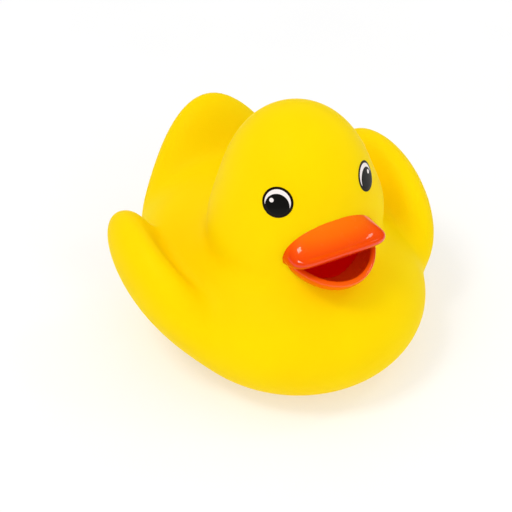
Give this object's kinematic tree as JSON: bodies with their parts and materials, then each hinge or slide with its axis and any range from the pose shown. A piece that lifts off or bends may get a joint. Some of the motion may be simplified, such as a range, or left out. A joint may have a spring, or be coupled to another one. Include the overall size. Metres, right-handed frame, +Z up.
{
  "type": "rubber duck",
  "caption": "Hollow moulded bath duck with a raised tail, cupped wings, a full-cheeked head and an open bill.",
  "frame": {"origin": "bottom centre of the bounding box, on the flat base", "axes": "+Z up, -Y the way the duck faces, +X the duck's left side"},
  "size_m": [0.0926, 0.0956, 0.0756],
  "materials": {
    "yellow_vinyl": "satin, soft moulded vinyl",
    "orange_paint": "gloss paint on the bill",
    "deep_orange_paint": "gloss paint on the lower bill",
    "red_paint": "gloss paint in the mouth",
    "black_print": "printed eye ring and pupil",
    "white_print": "printed eye white and highlight"
  },
  "bodies": {
    "root": {"duck_shell": "yellow_vinyl"}
  },
  "joints": []
}
